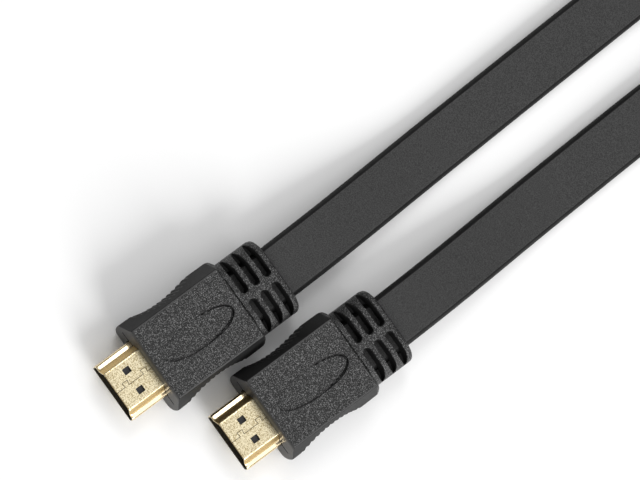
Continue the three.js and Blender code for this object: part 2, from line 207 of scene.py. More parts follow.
def new_object(name, vertices, faces, materials):
    mesh = bpy.data.meshes.new(name)
    mesh.from_pydata(np.asarray(vertices).tolist(), [], np.asarray(faces).tolist())
    mesh.validate()
    obj = bpy.data.objects.new(name, mesh)
    bpy.context.scene.collection.objects.link(obj)
    for material in materials:
        mesh.materials.append(material)
    mesh.shade_smooth()
    return obj


def plug_origin(side):
    """The tip's middle of a plug, in millimetres."""
    low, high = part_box(f"{side}_plug_shell")
    return np.array([(low.x + high.x) / 2, low.y, (low.z + high.z) / 2]) / MM


# Materials


class Nodes:
    """Short calls for a material's node tree."""

    def __init__(self, name):
        self.material = bpy.data.materials.new(name)
        self.material.use_nodes = True
        self.tree = self.material.node_tree
        self.shader = self.tree.nodes["Principled BSDF"]
        self.place = self.add("ShaderNodeTexCoord").outputs["Object"]

    def add(self, kind, **values):
        node = self.tree.nodes.new(kind)
        for key, value in values.items():
            if hasattr(node, key):
                setattr(node, key, value)
            else:
                node.inputs[key.replace("_", " ")].default_value = value
        return node

    def link(self, output, target):
        self.tree.links.new(output, target)

    def noise(self, scale, detail=2.0, roughness=0.5):
        node = self.add("ShaderNodeTexNoise", Scale=scale, Detail=detail, Roughness=roughness)
        self.link(self.place, node.inputs["Vector"])
        return node.outputs["Fac"]

    def cells(self, scale):
        node = self.add("ShaderNodeTexVoronoi", Scale=scale)
        self.link(self.place, node.inputs["Vector"])
        return node.outputs["Distance"]

    def ramp(self, factor, stops):
        node = self.add("ShaderNodeValToRGB")
        ramp = node.color_ramp
        ramp.elements[0].position, ramp.elements[0].color = stops[0][0], (*stops[0][1], 1)
        ramp.elements[1].position, ramp.elements[1].color = stops[-1][0], (*stops[-1][1], 1)
        for position, colour in stops[1:-1]:
            ramp.elements.new(position).color = (*colour, 1)
        self.link(factor, node.inputs["Fac"])
        return node.outputs["Color"]

    def span(self, factor, low, high):
        node = self.add("ShaderNodeMapRange")
        node.inputs["To Min"].default_value = low
        node.inputs["To Max"].default_value = high
        self.link(factor, node.inputs["Value"])
        return node.outputs["Result"]

    def bump(self, height, strength, distance, after=None):
        node = self.add("ShaderNodeBump")
        node.inputs["Strength"].default_value = strength
        node.inputs["Distance"].default_value = distance
        self.link(height, node.inputs["Height"])
        if after is not None:
            self.link(after, node.inputs["Normal"])
        return node.outputs["Normal"]

    def finish(self, **sockets):
        for name, value in sockets.items():
            socket = self.shader.inputs[name.replace("_", " ")]
            if isinstance(value, bpy.types.NodeSocket):
                self.link(value, socket)
            else:
                socket.default_value = value
        return self.material


def grey(value):
    return (value, value, value)


def grain_and_painted_sparkle_plastic():
    """The mouldings' tops and ribs: spark-eroded grain, with light spots painted into its colour as
    sparkle highlights.
    """
    n = Nodes("grain_and_painted_sparkle_plastic")
    fine = n.noise(5300, detail=1.0, roughness=0.6)
    pits = n.cells(3300)
    # The ramp's light top is painted sparkle: highlight spots in the base colour.
    colour = n.ramp(fine, [(0.42, grey(0.003)), (0.55, grey(0.014)), (0.67, grey(0.17))])
    normal = n.bump(fine, 0.7, 0.00011)
    normal = n.bump(pits, 0.3, 0.00006, normal)
    rough = n.span(fine, 0.62, 0.38)
    return n.finish(Base_Color=colour, Roughness=rough, Normal=normal, Specular_IOR_Level=0.4)


def smooth_plastic():
    """The mouldings' sloping sides: the same plastic off a finer tool face."""
    n = Nodes("smooth_plastic")
    fine = n.noise(3800, detail=2.0)
    broad = n.noise(260, detail=1.0)
    colour = n.ramp(broad, [(0.3, grey(0.012)), (0.7, grey(0.018))])
    normal = n.bump(fine, 0.3, 0.00004)
    rough = n.span(fine, 0.6, 0.46)
    return n.finish(Base_Color=colour, Roughness=rough, Normal=normal, Specular_IOR_Level=0.16)


def satin_plastic():
    """The mouldings' front faces, smooth enough to reflect the shell."""
    n = Nodes("satin_plastic")
    fine = n.noise(3000, detail=1.0)
    colour = n.ramp(fine, [(0.3, grey(0.02)), (0.7, grey(0.035))])
    normal = n.bump(fine, 0.15, 0.00003)
    return n.finish(Base_Color=colour, Roughness=n.span(fine, 0.5, 0.4), Normal=normal)


def jacket_plastic():
    """The cable's jacket: matt, with a fine even grain."""
    n = Nodes("jacket_plastic")
    fine = n.noise(5200, detail=2.0, roughness=0.6)
    broad = n.noise(150, detail=1.0)
    colour = n.ramp(fine, [(0.38, grey(0.012)), (0.62, grey(0.042))])
    normal = n.bump(fine, 0.3, 0.00003)
    normal = n.bump(broad, 0.05, 0.0003, normal)
    rough = n.span(broad, 0.6, 0.5)
    return n.finish(Base_Color=colour, Roughness=rough, Normal=normal, Specular_IOR_Level=0.38)


def jacket_edge_painted_shade():
    """The cable's two edges: painted shade, darker than its flats, with no grain."""
    n = Nodes("jacket_edge_painted_shade")
    broad = n.noise(400, detail=1.0)
    # A near-black colour painted as the shade on the cable's edges.
    colour = n.ramp(broad, [(0.3, grey(0.004)), (0.7, grey(0.008))])
    rough = n.span(broad, 0.55, 0.45)
    return n.finish(Base_Color=colour, Roughness=rough, Specular_IOR_Level=0.15)


def gold(name, pale, deep, mottle, rough):
    n = Nodes(name)
    spots = n.noise(4300, detail=2.0, roughness=0.6)
    broad = n.noise(420, detail=1.0)
    colour = n.ramp(spots, [(0.36, deep), (0.56, pale)])
    normal = n.bump(spots, mottle, 0.00004)
    roughness = n.span(broad, rough + 0.05, rough - 0.04)
    return n.finish(Base_Color=colour, Metallic=1.0, Roughness=roughness, Normal=normal)


def seam_painted_shade():
    """Painted shade at the bottom of the shell's seam."""
    n = Nodes("seam_painted_shade")
    spots = n.noise(2600, detail=2.0)
    # Dark colour painted as shade in the seam.
    colour = n.ramp(spots, [(0.3, (0.03, 0.02, 0.008)), (0.7, (0.16, 0.1, 0.04))])
    return n.finish(Base_Color=colour, Metallic=0.6, Roughness=n.span(spots, 0.7, 0.5))


def inside_painted_shade():
    """The shell's inside: painted shade in its dark colour, with a dull rough finish."""
    n = Nodes("inside_painted_shade")
    spots = n.noise(1800, detail=2.0)
    # Near-black gold painted as the shade inside the shell.
    colour = n.ramp(spots, [(0.3, (0.035, 0.03, 0.022)), (0.7, (0.09, 0.075, 0.05))])
    return n.finish(Base_Color=colour, Metallic=0.8, Roughness=n.span(spots, 0.55, 0.4))


def black_insulator():
    n = Nodes("black_insulator")
    fine = n.noise(2600, detail=2.0)
    colour = n.ramp(fine, [(0.3, (0.012, 0.012, 0.014)), (0.7, (0.022, 0.022, 0.026))])
    normal = n.bump(fine, 0.15, 0.00003)
    return n.finish(Base_Color=colour, Roughness=n.span(fine, 0.5, 0.38), Normal=normal)


def floor_white():
    n = Nodes("floor_white")
    broad = n.noise(9, detail=1.0)
    return n.finish(Base_Color=n.ramp(broad, [(0.3, grey(0.86)), (0.7, grey(0.88))]), Roughness=0.9)


# Camera, light and floor


def camera_axes():
    e, a, r = np.radians([CAMERA_ELEVATION, CAMERA_AZIMUTH, CAMERA_ROLL])
    right = np.array([math.cos(a), -math.sin(a), 0])
    up = np.array([math.sin(e) * math.sin(a), math.sin(e) * math.cos(a), math.cos(e)])
    rolled_right = math.cos(r) * right + math.sin(r) * up
    rolled_up = -math.sin(r) * right + math.cos(r) * up
    return rolled_right, rolled_up


def make_camera():
    right, up = camera_axes()
    back = np.cross(right, up)
    across = (PICTURE[0] / 2 - ORIGIN_PIXEL[0]) / PIXELS_PER_MM * MM
    above = (ORIGIN_PIXEL[1] - PICTURE[1] / 2) / PIXELS_PER_MM * MM
    where = right * across + up * above + back * CAMERA_DISTANCE
    data = bpy.data.cameras.new("camera")
    data.sensor_width = SENSOR_WIDTH
    data.lens = PIXELS_PER_MM / MM * SENSOR_WIDTH * CAMERA_DISTANCE / PICTURE[0]
    data.clip_start = 0.01
    data.clip_end = 10
    camera = bpy.data.objects.new("camera", data)
    matrix = Matrix(np.column_stack([right, up, back]).tolist()).to_4x4()
    matrix.translation = Vector(where)
    camera.matrix_world = matrix
    bpy.context.scene.collection.objects.link(camera)
    bpy.context.scene.camera = camera


def area_light(name, place, aim, size, power):
    data = bpy.data.lights.new(name, "AREA")
    data.shape = "RECTANGLE"
    data.size, data.size_y = size
    data.energy = power
    light = bpy.data.objects.new(name, data)
    light.location = place
    light.rotation_euler = (Vector(aim) - Vector(place)).to_track_quat("-Z", "Y").to_euler()
    bpy.context.scene.collection.objects.link(light)


def make_light():
    for light in LIGHTS:
        area_light(*light)
    world = bpy.data.worlds.new("studio")
    world.use_nodes = True
    background = world.node_tree.nodes["Background"]
    background.inputs["Color"].default_value = (1, 1, 1, 1)
    background.inputs["Strength"].default_value = WORLD_STRENGTH
    bpy.context.scene.world = world
    bpy.context.scene.view_settings.view_transform = "Standard"


def make_floor():
    half = FLOOR_HALF
    corners = [(-half, -half, 0), (half, -half, 0), (half, half, 0), (-half, half, 0)]
    floor = new_object("floor", corners, [(0, 1, 2, 3)], [floor_white()])
    floor.location.z = -FLOOR_DROP


# The cable's line


def catmull_rom(points, samples=60):
    """Points along the smooth curve through a list of points."""
    p = np.array(points, float)
    p = np.vstack([2 * p[0] - p[1], p, 2 * p[-1] - p[-2]])
    t = np.linspace(0, 1, samples, endpoint=False)[:, None]
    pieces = []
    for a, b, c, d in zip(p[:-3], p[1:-2], p[2:-1], p[3:], strict=True):
        cubic = 3 * b - 3 * c + d - a
        square = 2 * a - 5 * b + 4 * c - d
        pieces.append(0.5 * (2 * b + (c - a) * t + square * t**2 + cubic * t**3))
    return np.vstack([*pieces, p[-2]])


def evenly(points, step):
    """The same line with points a step apart."""
    lengths = np.r_[0, np.cumsum(np.linalg.norm(np.diff(points[:, :3], axis=0), axis=1))]
    count = max(2, round(lengths[-1] / step))
    places = np.linspace(0, lengths[-1], count + 1)
    return np.stack([np.interp(places, lengths, points[:, k]) for k in range(points.shape[1])], 1)


def leg_line(mouth, route, twist):
    """One leg from its strain relief to the coil: its points, and its turn from flat to on edge."""
    plan = evenly(catmull_rom([mouth[:2], *route]), CABLE_STEP)
    distance = np.r_[0, np.cumsum(np.linalg.norm(np.diff(plan, axis=0), axis=1))]
    turned = math.pi / 2 * smoothstep((distance - twist[0]) / (twist[1] - twist[0]))
    lying = CABLE_THICKNESS / 2
    descent = (mouth[2] - lying) * (1 - smoothstep(distance / DESCENT_LENGTH))
    height = lying + descent + (CABLE_WIDTH - CABLE_THICKNESS) / 2 * np.sin(turned)
    return np.column_stack([plan, height]), turned


def strand(start_radius, start_angle):
    """A strand's plan in the coil, wound clockwise and inwards to the inner radius."""
    turn = (start_radius - INNER_STRAND_RADIUS) / (2 * STRAND_PITCH) * 2 * math.pi
    count = round(turn * (start_radius + INNER_STRAND_RADIUS) / 2 / CABLE_STEP)
    share = np.linspace(0, 1, count + 1)
    radius = start_radius + (INNER_STRAND_RADIUS - start_radius) * share
    angle = start_angle - turn * share
    return np.column_stack([COIL_X + radius * np.cos(angle), COIL_Y + radius * np.sin(angle)]), angle[-1]


def half_turn(angle):
    """From a strand's inner end to the coil's middle, on half a circle."""
    count = round(math.pi * INNER_STRAND_RADIUS / 2 / CABLE_STEP)
    swept = np.linspace(0, math.pi, count + 1)
    radius = INNER_STRAND_RADIUS * np.cos(swept / 2)
    heading = angle - swept / 2
    return np.column_stack([COIL_X + radius * np.cos(heading), COIL_Y + radius * np.sin(heading)])


def relaxed(points, rounds):
    """The same line with its joints eased."""
    points = points.copy()
    for _ in range(rounds):
        points[1:-1] = points[1:-1] * 0.5 + (points[:-2] + points[2:]) * 0.25
    return points


def cable_line():
    """The whole cable from the left plug to the right one, and its turn about its own line."""
    mouths = {}
    for side in ("left", "right"):
        mouths[side] = plug_origin(side) + (0, PLUG_LENGTH + MOUTH_GAP, 0)
    left, left_turn = leg_line(mouths["left"], LEFT_ROUTE, LEFT_TWIST)
    right, right_turn = leg_line(mouths["right"], RIGHT_ROUTE, RIGHT_TWIST)
    entry = math.radians(COIL_ENTRY_DEGREES)
    outer, outer_end = strand(OUTER_STRAND_RADIUS, entry)
    join = right[-1, :2] - (COIL_X, COIL_Y)
    join_angle = math.atan2(join[1], join[0]) + 2 * math.pi
    join_radius = OUTER_STRAND_RADIUS - STRAND_PITCH + (join_angle - entry) / math.pi * STRAND_PITCH
    inner, inner_end = strand(join_radius, join_angle)
    first, second = half_turn(outer_end), half_turn(inner_end)
    wound = np.vstack([outer[1:], first[1:], second[::-1][1:], inner[::-1][1:]])
    wound = np.column_stack([wound, np.full(len(wound), CABLE_WIDTH / 2)])
    points = np.vstack([left, wound, right[::-1][1:]])
    turns = np.r_[left_turn, np.full(len(wound), math.pi / 2), math.pi - right_turn[::-1][1:]]
    whole = evenly(relaxed(np.column_stack([points, turns]), 6), CABLE_STEP)
    return whole[:, :3], whole[:, 3]


def flat_section(width, thickness, steps):
    """A flat cable's section: its edges slope more than they round."""
    angles = (np.arange(steps + 1) / steps - 0.5) * math.pi
    across = np.cos(angles) ** (2 / CABLE_EDGE_POWER)
    over = np.sign(angles) * np.abs(np.sin(angles)) ** (2 / CABLE_EDGE_POWER)
    right = np.column_stack([width / 2 - CABLE_EDGE_RUN * (1 - across), thickness / 2 * over])
    inner = width / 2 - CABLE_EDGE_RUN - CABLE_FLAT_MARGIN
    right = np.vstack([(inner, -thickness / 2), right, (inner, thickness / 2)])
    return np.vstack([right, -right])


def band(name, points, turned, section, flat_material, edge_painted_shade_material):
    """A flat band along points that each carry a turn about the line."""
    along = np.gradient(points, axis=0)
    along /= np.linalg.norm(along, axis=1, keepdims=True)
    across = np.cross(along, (0, 0, 1))
    across /= np.linalg.norm(across, axis=1, keepdims=True)
    over = np.cross(across, along)
    wide = across * np.cos(turned)[:, None] + over * np.sin(turned)[:, None]
    thick = np.cross(wide, along)
    rings = points[:, None] + section[None, :, :1] * wide[:, None] + section[None, :, 1:] * thick[:, None]
    count, sides = len(points), len(section)
    vertices = rings.reshape(-1, 3) * MM
    index = np.arange(count * sides).reshape(count, sides)
    following = np.roll(index, -1, axis=1)
    quads = np.stack([index[:-1], following[:-1], following[1:], index[1:]], -1).reshape(-1, 4)
    faces = [*quads.tolist(), index[0][::-1].tolist(), index[-1].tolist()]
    mesh = bpy.data.meshes.new(name)
    mesh.from_pydata(vertices.tolist(), [], faces)
    mesh.materials.append(flat_material)
    mesh.materials.append(edge_painted_shade_material)
    inner = CABLE_WIDTH / 2 - CABLE_EDGE_RUN + 0.01
    reach = np.maximum(np.abs(section[:, 0]), np.abs(np.roll(section[:, 0], -1)))
    # The edge faces take the painted-shade material.
    on_painted_shade_edge = np.tile((reach > inner).astype(np.int32), count - 1)
    mesh.polygons.foreach_set("material_index", np.r_[on_painted_shade_edge, 0, 0].astype(np.int32))
    mesh.shade_smooth()
    obj = bpy.data.objects.new(name, mesh)
    bpy.context.scene.collection.objects.link(obj)
    return obj


def make_cable():
    points, turned = cable_line()
    inside = np.linspace(CABLE_INTO_MOULDING, 0, 6)[:-1, None] * (0, -1, 0)
    points = np.vstack([points[0] + inside, points, points[-1] + inside[::-1]])
    turned = np.r_[np.full(5, turned[0]), turned, np.full(5, turned[-1])]
    section = flat_section(CABLE_WIDTH, CABLE_THICKNESS, 12)
    cable = band("video_cable", points, turned, section, jacket_plastic(), jacket_edge_painted_shade())
    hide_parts("cable_left_leg", "cable_right_leg", "cable_coil", "cable_middle")
    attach(cable, "root")


# The mouldings: a field that is negative inside the plastic


def shell_polygon(distance):
    """The shell's outline as x and z, moved inwards by a distance."""
    half, top = SHELL_WIDTH / 2, SHELL_HEIGHT / 2
    shoulder = top - SHELL_FACET_DROP
    side = shoulder - SHELL_SHOULDER_DROP
    right = [
        (SHELL_NARROW_WIDTH / 2, top),
        (SHELL_NARROW_WIDTH / 2 + SHELL_FACET_RUN, shoulder),
        (half - SHELL_CORNER, side),
        (half, side - SHELL_CORNER),
        (half, SHELL_CORNER - top),
        (half - SHELL_CORNER, -top),
    ]
    points = np.array(right + [(-x, z) for x, z in right[::-1]])
    along = np.roll(points, -1, axis=0) - points
    along /= np.linalg.norm(along, axis=1, keepdims=True)
    moved = points + np.column_stack([along[:, 1], -along[:, 0]]) * distance
    before, behind = np.roll(moved, 1, axis=0), np.roll(along, 1, axis=0)
    cross = behind[:, 0] * along[:, 1] - behind[:, 1] * along[:, 0]
    apart = moved - before
    reach = (apart[:, 0] * along[:, 1] - apart[:, 1] * along[:, 0]) / cross
    return before + behind * reach[:, None]


def polygon_distance(x, z, polygon):
    """Signed distance to an outline, negative inside."""
    x, z = np.broadcast_arrays(x, z)
    nearest = np.full(x.shape, 1e9)
    inside = np.zeros(x.shape, bool)
    for (ax, az), (bx, bz) in zip(polygon, np.roll(polygon, -1, axis=0), strict=True):
        ex, ez = bx - ax, bz - az
        t = np.clip(((x - ax) * ex + (z - az) * ez) / (ex * ex + ez * ez), 0, 1)
        nearest = np.minimum(nearest, np.hypot(x - ax - ex * t, z - az - ez * t))
        crosses = (az > z) != (bz > z)
        inside ^= crosses & (x < ax + ex * (z - az) / (ez if ez else 1e-9))
    return np.where(inside, -nearest, nearest)


def ridges(y):
    """Rounded vertical ribs in the finger scoops."""
    wave = 0.5 + 0.5 * np.cos((y - WAIST_Y) / RIDGE_PITCH * 2 * math.pi)
    return RIDGE_HEIGHT * smoothstep(wave * 1.4 - 0.2)


def grip_field(x, y, z):
    """The grip: flat top, leaning sides, rounded lower half and a scoop in each side."""
    depth = np.abs(z)
    along = np.clip((y - GRIP_FRONT) / (GRIP_REAR - GRIP_FRONT), 0, 1)
    widest = GRIP_HALF_WIDTH + (GRIP_REAR_HALF_WIDTH - GRIP_HALF_WIDTH) * along
    lean = (widest - GRIP_TOP_HALF_WIDTH) / GRIP_HALF_HEIGHT
    upper = (x - widest + lean * z) / np.hypot(1, lean)
    run = np.maximum(widest - GRIP_BOTTOM_HALF_WIDTH, 0.1)
    out = np.maximum(x - GRIP_BOTTOM_HALF_WIDTH, 0) / run
    down = np.maximum(-z, 0) / GRIP_HALF_HEIGHT
    lower = ((out**LOWER_POWER + down**LOWER_POWER) ** (1 / LOWER_POWER) - 1) * run
    side = np.where(z > 0, upper, lower)
    flats = depth - GRIP_HALF_HEIGHT
    round_in = np.clip((depth - FRONT_LAND) / (GRIP_HALF_HEIGHT - FRONT_LAND), 0, 0.995)
    front_y = GRIP_FRONT + (GRIP_TOP_START - GRIP_FRONT) * (1 - np.sqrt(1 - round_in**2))
    front = front_y - y
    draft = (GRIP_REAR - GRIP_TOP_END) / (GRIP_HALF_HEIGHT - REAR_LAND)
    rear = y - np.minimum(GRIP_REAR, GRIP_TOP_END + draft * (GRIP_HALF_HEIGHT - depth))
    near_top = smoothstep(depth / GRIP_HALF_HEIGHT * 1.6 - 0.6)
    field = smooth_max(side, flats, TOP_EDGE)
    field = smooth_max(field, front, FRONT_EDGE)
    field = smooth_max(field, rear, REAR_CORNER + (REAR_TOP_EDGE - REAR_CORNER) * near_top)
    bow = WAIST_RADIUS - np.sqrt(np.maximum(WAIST_RADIUS**2 - (y - WAIST_Y) ** 2, 1))
    scoop = x - WAIST_HALF_WIDTH - bow - ridges(y)
    return smooth_max(field, scoop, SCOOP_EDGE)


def relief_section(x, z):
    """Distance to the strain relief's rounded section, across its length."""
    qx = x - (RELIEF_HALF_WIDTH - RELIEF_SIDE_RADIUS)
    qz = np.abs(z) - (RELIEF_HALF_HEIGHT - RELIEF_SIDE_RADIUS)
    outside = np.hypot(np.maximum(qx, 0), np.maximum(qz, 0))
    return outside + np.minimum(np.maximum(qx, qz), 0) - RELIEF_SIDE_RADIUS


def relief_field(x, y, z):
    """The strain relief with its flex slots, and the groove between it and the grip."""
    section = relief_section(x, z)
    field = smooth_max(section, y - PLUG_LENGTH, RELIEF_REAR_EDGE)
    field = np.maximum(field, RELIEF_START - y)
    for middle in FLEX_SLOTS:
        from_line = x - np.maximum(x, FLEX_SPINE_HALF + FLEX_SLOT_HALF_WIDTH)
        tapered = np.clip((x - FLEX_TAPER_START) / (FLEX_OUTER_END - FLEX_TAPER_START), 0, 1)
        half = FLEX_SLOT_HALF_WIDTH * np.sqrt(1 - tapered**2)
        slot = np.hypot(from_line, y - middle) - half
        cut = np.maximum(slot, x - FLEX_OUTER_END)
        cut = smooth_max(cut, FLEX_WEB_HALF - np.abs(z), FLEX_FLOOR_EDGE)
        field = smooth_max(field, -cut, FLEX_RIM_EDGE)
    groove = np.abs(y - GRIP_TOP_END - GROOVE_FROM_TOP_END) - GROOVE_HALF
    groove = np.maximum(groove, -(section + GROOVE_DEPTH))
    return np.maximum(field, -groove)


def oval_field(x, y):
    """Distance to the bare oval recess: long towards the tip, rounder towards the cable."""
    along = (y - OVAL_Y) / OVAL_HALF_LENGTH
    power = np.where(along > 0, OVAL_POWERS[1], OVAL_POWERS[0])
    reach = np.clip(np.abs(along), 0, 1) ** power
    half = OVAL_HALF_WIDTH * np.sqrt(np.maximum(1 - reach, 0))
    ends = np.abs(y - OVAL_Y) - OVAL_HALF_LENGTH
    return np.maximum(x - half, ends)


def moulding_field(x, y, z):
    """The whole moulding, with its oval recess and the places of the shell and the cable."""
    x = np.abs(x)
    field = np.minimum(grip_field(x, y, z), relief_field(x, y, z))
    oval = oval_field(x, y)
    recess = smooth_max(oval, GRIP_HALF_HEIGHT - OVAL_DEPTH - z, OVAL_FLOOR_EDGE)
    field = smooth_max(field, -recess, OVAL_RIM_EDGE)
    edge = np.abs(oval + OVAL_GROOVE_HALF) - OVAL_GROOVE_HALF
    fading = smoothstep((y - OVAL_GROOVE_START) / (OVAL_GROOVE_FULL - OVAL_GROOVE_START))
    edge = np.maximum(edge, GRIP_HALF_HEIGHT - OVAL_DEPTH - OVAL_GROOVE_DEPTH * fading - z)
    field = np.maximum(field, -edge)
    pocket = polygon_distance(x, z, shell_polygon(-POCKET_ROOM))
    pocket = np.maximum(pocket, y - SHELL_LENGTH - MOUTH_GAP)
    field = smooth_max(field, -pocket, POCKET_EDGE)
    slit = np.maximum(np.abs(z - SLIT_Z) - SLIT_HALF, x - SLIT_REACH)
    slit = np.maximum(slit, y - GRIP_FRONT - SLIT_DEPTH)
    field = np.maximum(field, -slit)
    cable = np.hypot(x - np.clip(x, 0, (CABLE_WIDTH - CABLE_THICKNESS) / 2), z)
    cable_hole = np.maximum(cable - CABLE_THICKNESS / 2 - HOLE_ROOM, PLUG_LENGTH - HOLE_DEPTH - y)
    return smooth_max(field, -cable_hole, HOLE_EDGE)


# Meshing a field


CORNERS = np.array([(i, j, k) for i in (0, 1) for j in (0, 1) for k in (0, 1)])
EDGES = [
    (a, b)
    for a in range(8)
    for b in range(a + 1, 8)
    if np.abs(CORNERS[a] - CORNERS[b]).sum() == 1
]


def net_of(field, low, high, step):
    """Vertices and quads on a field's zero surface, one vertex for each cell that it crosses."""
    axes = [np.arange(a, b + step, step) for a, b in zip(low, high, strict=True)]
    values = field(axes[0][:, None, None], axes[1][None, :, None], axes[2][None, None, :])
    values = np.ascontiguousarray(np.broadcast_to(values, [len(a) for a in axes]))
    inside = values < 0
    corner = [inside[i : i - 1 or None, j : j - 1 or None, k : k - 1 or None] for i, j, k in CORNERS]
    total = sum(c.astype(np.int8) for c in corner)
    cells = np.argwhere((total > 0) & (total < 8))
    index = np.full([len(a) - 1 for a in axes], -1, np.int64)
    index[tuple(cells.T)] = np.arange(len(cells))
    at = [values[tuple((cells + c).T)] for c in CORNERS]
    total_place, total_count = np.zeros((len(cells), 3)), np.zeros(len(cells))
    for a, b in EDGES:
        crossed = (at[a] < 0) != (at[b] < 0)
        share = np.where(crossed, at[a] / np.where(crossed, at[a] - at[b], 1), 0)[:, None]
        place = CORNERS[a] + (CORNERS[b] - CORNERS[a]) * share
        total_place += np.where(crossed[:, None], place, 0)
        total_count += crossed
    vertices = np.array(low) + (cells + total_place / total_count[:, None]) * step
    quads = []
    for axis in range(3):
        one, two = (axis + 1) % 3, (axis + 2) % 3
        ahead = np.take(inside, range(1, inside.shape[axis]), axis)
        here = np.take(inside, range(inside.shape[axis] - 1), axis)
        for change, flip in ((here & ~ahead, False), (~here & ahead, True)):
            edge = np.argwhere(change)
            edge = edge[(edge[:, one] > 0) & (edge[:, two] > 0)]
            step_one, step_two = np.eye(3, dtype=int)[one], np.eye(3, dtype=int)[two]
            around = [edge - step_one - step_two, edge - step_two, edge, edge - step_one]
            ring = np.stack([index[tuple(c.T)] for c in around], 1)
            quads.append(ring[:, ::-1] if flip else ring)
    return vertices, np.vstack(quads)


def slope(field, points, reach=0.01):
    """A field's gradient at points."""
    columns = []
    for axis in range(3):
        offset = np.eye(3)[axis] * reach
        ahead = field(*(points + offset).T)
        back = field(*(points - offset).T)
        columns.append((ahead - back) / (2 * reach))
    return np.stack(columns, 1)


def settled(field, points, limit):
    """Points moved onto the field's zero surface."""
    for _ in range(3):
        direction = slope(field, points)
        size = np.maximum((direction**2).sum(1), 0.05)
        move = -direction * (field(*points.T) / size)[:, None]
        length = np.linalg.norm(move, axis=1, keepdims=True)
        points = points + move * np.minimum(1, limit / np.maximum(length, 1e-9))
    return points


def finish_of(centres, facing):
    """Each face's finish: 0 grained, 1 smooth on the sides and in the slots, 2 satin."""
    x, y, z = np.abs(centres[:, 0]), centres[:, 1], centres[:, 2]
    steep = np.abs(facing[:, 2]) < STEEP
    side = steep & (y < GRIP_TOP_END + 0.2)
    in_slot = (y > GRIP_TOP_END + 0.6) & (relief_section(x, z) < -0.3)
    front = (facing[:, 1] < -0.55) & (y < GRIP_TOP_START + 0.3)
    top_edge = ~steep & (facing[:, 2] < NEARLY_LEVEL) & (x > TOP_EDGE_FROM) & (y < GRIP_TOP_END)
    return np.where(front | top_edge, 2, side | in_slot).astype(np.int32)


def make_mouldings():
    low = np.array((-GRIP_HALF_WIDTH, GRIP_FRONT, -GRIP_HALF_HEIGHT)) - GRID_MARGIN
    high = np.array((GRIP_HALF_WIDTH, PLUG_LENGTH, GRIP_HALF_HEIGHT)) + GRID_MARGIN
    vertices, quads = net_of(moulding_field, low, high, GRID_STEP)
    vertices = settled(moulding_field, vertices, 0.6 * GRID_STEP)
    normals = slope(moulding_field, vertices, 0.05)
    normals /= np.maximum(np.linalg.norm(normals, axis=1, keepdims=True), 1e-9)
    kind = finish_of(vertices[quads].mean(1), normals[quads].mean(1))
    materials = [grain_and_painted_sparkle_plastic(), smooth_plastic(), satin_plastic()]
    for side in ("left", "right"):
        placed = (vertices + plug_origin(side)) * MM
        piece = new_object(f"{side}_moulding", placed, quads, materials)
        piece.data.polygons.foreach_set("material_index", kind)
        piece.data.normals_split_custom_set_from_vertices(normals.tolist())
        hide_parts(f"{side}_plug_moulding")
        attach(piece, "root")


# The shells


def rounded(polygon, radius, steps=6):
    """A polygon with each corner rounded."""
    points = []
    befores, afters = np.roll(polygon, 1, axis=0), np.roll(polygon, -1, axis=0)
    for before, corner, after in zip(befores, polygon, afters, strict=True):
        to_before, to_after = before - corner, after - corner
        reach = min(radius, 0.45 * np.linalg.norm(to_before), 0.45 * np.linalg.norm(to_after))
        start = corner + to_before / np.linalg.norm(to_before) * reach
        end = corner + to_after / np.linalg.norm(to_after) * reach
        for t in np.linspace(0, 1, steps + 1):
            points.append((1 - t) ** 2 * start + 2 * t * (1 - t) * corner + t**2 * end)
    return np.array(points)


def shell_rings():
    """The shell's rings: along its outside from the tip, and back along its inside."""
    outside = [*SHELL_LIP_OUTSIDE, (SHELL_LENGTH, 0.0)]
    inside = [(SHELL_LENGTH, SHELL_WALL), *SHELL_LIP_INSIDE]
    rings = []
    for y, inset in outside + inside:
        outline = rounded(shell_polygon(inset), SHELL_FOLD_RADIUS)
        rings.append(np.column_stack([outline[:, 0], np.full(len(outline), y), outline[:, 1]]))
    return np.array(rings)


def prism(name, outline, bottom, top):
    """An upright prism over an outline in x and y, as a cutting tool."""
    count = len(outline)
    flat = np.array(outline, float)
    low = np.column_stack([flat, np.full(count, bottom)])
    high = np.column_stack([flat, np.full(count, top)])
    ring = np.arange(count)
    after = np.roll(ring, -1)
    sides = np.column_stack([ring, after, after + count, ring + count]).tolist()
    mesh = bpy.data.meshes.new(name)
    faces = [*sides, ring[::-1].tolist(), (ring + count).tolist()]
    mesh.from_pydata((np.vstack([low, high]) * MM).tolist(), [], faces)
    obj = bpy.data.objects.new(name, mesh)
    bpy.context.scene.collection.objects.link(obj)
    return obj


def window_outline(x):
    corners = np.array(
        [
            (x - WINDOW_WIDTH / 2, WINDOW_FROM_TIP - WINDOW_LENGTH / 2),
            (x + WINDOW_WIDTH / 2, WINDOW_FROM_TIP - WINDOW_LENGTH / 2),
            (x + WINDOW_WIDTH / 2, WINDOW_FROM_TIP + WINDOW_LENGTH / 2),
            (x - WINDOW_WIDTH / 2, WINDOW_FROM_TIP + WINDOW_LENGTH / 2),
        ]
    )
    return rounded(corners, WINDOW_CORNER)


def seam_outline():
    """The butt seam with its two dovetails, as a thin closed strip."""
    line = [(SEAM_X, -0.5)]
    for middle in DOVETAILS:
        head = SEAM_X - DOVETAIL_REACH
        line += [(SEAM_X, middle - DOVETAIL_NECK), (head, middle - DOVETAIL_HEAD)]
        line += [(head, middle + DOVETAIL_HEAD), (SEAM_X, middle + DOVETAIL_NECK)]
    line.append((SEAM_X, SHELL_LENGTH + 0.5))
    line = np.array(line)
    along = np.diff(line, axis=0)
    along /= np.linalg.norm(along, axis=1, keepdims=True)
    normal = np.column_stack([-along[:, 1], along[:, 0]])
    before, after = np.vstack([normal[:1], normal]), np.vstack([normal, normal[-1:]])
    sideways = (before + after) / (1 + (before * after).sum(1, keepdims=True)) * SEAM_WIDTH / 2
    return np.vstack([line - sideways, (line + sideways)[::-1]])


